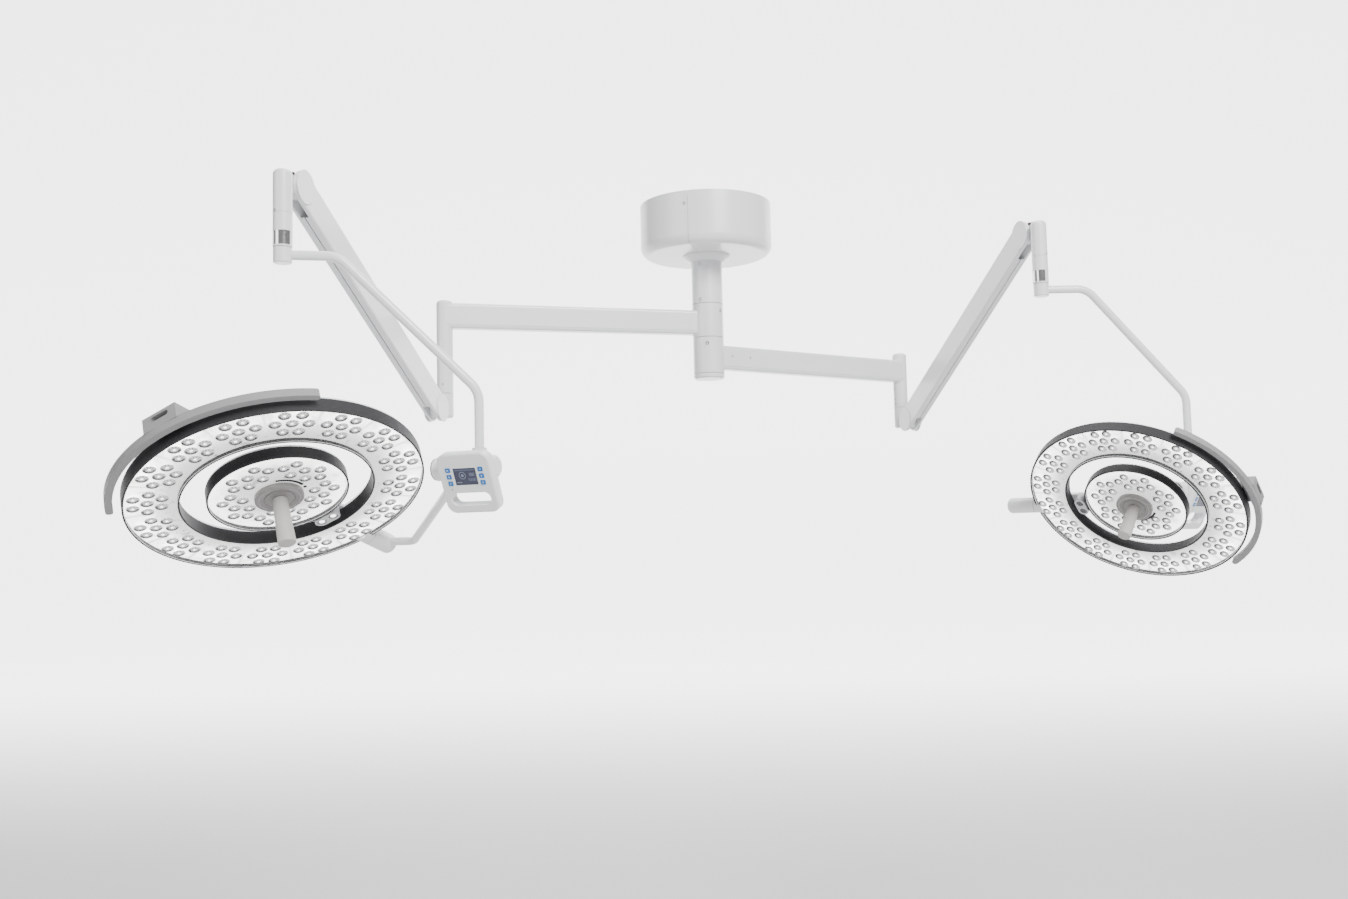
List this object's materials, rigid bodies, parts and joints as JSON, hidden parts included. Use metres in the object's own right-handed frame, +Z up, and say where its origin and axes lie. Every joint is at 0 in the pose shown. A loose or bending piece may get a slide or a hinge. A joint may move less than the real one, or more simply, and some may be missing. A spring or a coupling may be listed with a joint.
{
  "type": "surgical light",
  "caption": "Ceiling-mounted twin surgical light: ring-shaped lamp heads on jointed spring arms with bent yokes, control panels and centre handles.",
  "frame": {"origin": "middle of the ceiling plate's top face, which bolts to the ceiling", "axes": "+Z up along the column; the two lamps hang below and to either side along X, and most of their arms reach towards -Y"},
  "size_m": [2.8234, 1.6881, 1.1702],
  "materials": {
    "white_paint": "gloss",
    "white_plastic": "satin",
    "grey_plastic": "satin",
    "handle_grey": "satin",
    "grip_grey": "satin",
    "pod_grey": "satin",
    "dark_plastic": "satin",
    "clear_window": "clear",
    "lamp_white": "reflector white",
    "screen": "gloss",
    "blue_keys": "satin",
    "chrome": "polished",
    "steel": "turned",
    "dark_steel": "blackened"
  },
  "bodies": {
    "column": {"ceiling_plate": "white_paint", "canopy_left": "white_paint", "canopy_right": "white_paint", "canopy_collar": "white_paint", "column_spindle": "steel", "column_cap": "white_paint"},
    "left_extension": {"left_hub": "white_paint", "left_beam": "white_paint", "left_end_tube": "white_paint"},
    "left_knuckle": {"left_knuckle": "white_paint"},
    "left_spring_arm": {"left_spring_arm": "white_paint", "left_spring_strut": "dark_steel", "left_pivot_covers": "white_paint"},
    "left_head_joint": {"left_head_joint": "white_paint", "left_lock_segment": "chrome"},
    "left_yoke": {"left_yoke": "white_paint"},
    "left_joint_block": {"left_joint_block": "white_paint", "left_panel_housing": "white_plastic", "left_panel_display": "screen", "left_panel_keys": "blue_keys"},
    "left_fork": {"left_fork_barrel": "white_paint", "left_fork_tube": "white_paint"},
    "left_lamp_head": {"left_head_shell": "white_plastic", "left_side_bands": "dark_plastic", "left_front_windows": "clear_window", "left_lamp_boards": "lamp_white", "left_handle_base": "grey_plastic", "left_grab_handle": "grip_grey", "left_camera_pod": "pod_grey"},
    "left_centre_handle": {"left_centre_handle": "handle_grey"},
    "right_extension": {"right_hub": "white_paint", "right_beam": "white_paint", "right_end_tube": "white_paint"},
    "right_knuckle": {"right_knuckle": "white_paint"},
    "right_spring_arm": {"right_spring_arm": "white_paint", "right_spring_strut": "dark_steel", "right_pivot_covers": "white_paint"},
    "right_head_joint": {"right_head_joint": "white_paint", "right_lock_segment": "chrome"},
    "right_yoke": {"right_yoke": "white_paint"},
    "right_joint_block": {"right_joint_block": "white_paint", "right_panel_housing": "white_plastic", "right_panel_display": "screen", "right_panel_keys": "blue_keys"},
    "right_fork": {"right_fork_barrel": "white_paint", "right_fork_tube": "white_paint"},
    "right_lamp_head": {"right_head_shell": "white_plastic", "right_side_bands": "dark_plastic", "right_front_windows": "clear_window", "right_lamp_boards": "lamp_white", "right_handle_base": "grey_plastic", "right_grab_handle": "grip_grey", "right_camera_pod": "pod_grey"},
    "right_centre_handle": {"right_centre_handle": "handle_grey"}
  },
  "joints": [
    {"name": "left_extension_swivel", "type": "hinge", "parent": "column", "child": "left_extension", "pos_m": [0, 0, 0], "axis": [0, 0, 1], "range_deg": [-60, 30]},
    {"name": "left_arm_swivel", "type": "hinge", "parent": "left_extension", "child": "left_knuckle", "pos_m": [-0.78304, -0.22601, -0.602], "axis": [0, 0, 1], "range_deg": [-60, 30]},
    {"name": "left_arm_lift", "type": "hinge", "parent": "left_knuckle", "child": "left_spring_arm", "pos_m": [-0.79764, -0.29242, -0.651], "axis": [-0.9767, 0.2147, 0], "range_deg": [-70, 12]},
    {"name": "left_arm_levelling", "type": "hinge", "parent": "left_spring_arm", "child": "left_head_joint", "pos_m": [-0.96656, -1.06075, -0.22209], "axis": [-0.9767, 0.2147, 0], "range_deg": [-12, 70]},
    {"name": "left_yoke_swivel", "type": "hinge", "parent": "left_head_joint", "child": "left_yoke", "pos_m": [-0.98074, -1.12521, -0.22209], "axis": [0, 0, 1], "range_deg": [-60, 30]},
    {"name": "left_block_swivel", "type": "hinge", "parent": "left_yoke", "child": "left_joint_block", "pos_m": [-0.55869, -1.03781, -0.87309], "axis": [0, 0, 1], "range_deg": [-30, 60]},
    {"name": "left_fork_tilt", "type": "hinge", "parent": "left_joint_block", "child": "left_fork", "pos_m": [-0.55869, -1.03781, -0.87309], "axis": [0.915, -0.4035, 0], "range_deg": [-25, 25]},
    {"name": "left_head_roll", "type": "hinge", "parent": "left_fork", "child": "left_lamp_head", "pos_m": [-1.075, -0.8579, -0.90235], "axis": [0.3851, 0.8731, -0.299], "range_deg": [-35, 60]},
    {"name": "left_handle_turn", "type": "hinge", "parent": "left_lamp_head", "child": "left_centre_handle", "pos_m": [-1.06969, -0.86595, -0.91901], "axis": [-0.2758, 0.4181, 0.8655], "range_deg": [-120, 120]},
    {"name": "right_extension_swivel", "type": "hinge", "parent": "column", "child": "right_extension", "pos_m": [0, 0, 0], "axis": [0, 0, 1], "range_deg": [-30, 60]},
    {"name": "right_arm_swivel", "type": "hinge", "parent": "right_extension", "child": "right_knuckle", "pos_m": [0.67646, 0.45456, -0.602], "axis": [0, 0, 1], "range_deg": [-12, 60]},
    {"name": "right_arm_lift", "type": "hinge", "parent": "right_knuckle", "child": "right_spring_arm", "pos_m": [0.69475, 0.38907, -0.651], "axis": [-0.9632, -0.2689, 0], "range_deg": [-70, 12]},
    {"name": "right_arm_levelling", "type": "hinge", "parent": "right_spring_arm", "child": "right_head_joint", "pos_m": [0.90321, -0.35755, -0.20165], "axis": [-0.9632, -0.2689, 0], "range_deg": [-12, 70]},
    {"name": "right_yoke_swivel", "type": "hinge", "parent": "right_head_joint", "child": "right_yoke", "pos_m": [0.92095, -0.42112, -0.20165], "axis": [0, 0, 1], "range_deg": [-45, 45]},
    {"name": "right_block_swivel", "type": "hinge", "parent": "right_yoke", "child": "right_joint_block", "pos_m": [1.31284, -0.41154, -0.94665], "axis": [0, 0, 1], "range_deg": [-60, 30]},
    {"name": "right_fork_tilt", "type": "hinge", "parent": "right_joint_block", "child": "right_fork", "pos_m": [1.31284, -0.41154, -0.94665], "axis": [0.6921, 0.7218, 0], "range_deg": [-25, 25]},
    {"name": "right_head_roll", "type": "hinge", "parent": "right_fork", "child": "right_lamp_head", "pos_m": [1.04507, -0.72648, -0.97791], "axis": [-0.7217, 0.6921, 0.0087], "range_deg": [-60, 30]},
    {"name": "right_handle_turn", "type": "hinge", "parent": "right_lamp_head", "child": "right_centre_handle", "pos_m": [1.03808, -0.73363, -0.98851], "axis": [0.4793, 0.4906, 0.7277], "range_deg": [-120, 120]}
  ],
  "couplings": [
    {"joint": "left_arm_levelling", "follows": "left_arm_lift", "ratio": -1},
    {"joint": "right_arm_levelling", "follows": "right_arm_lift", "ratio": -1}
  ]
}
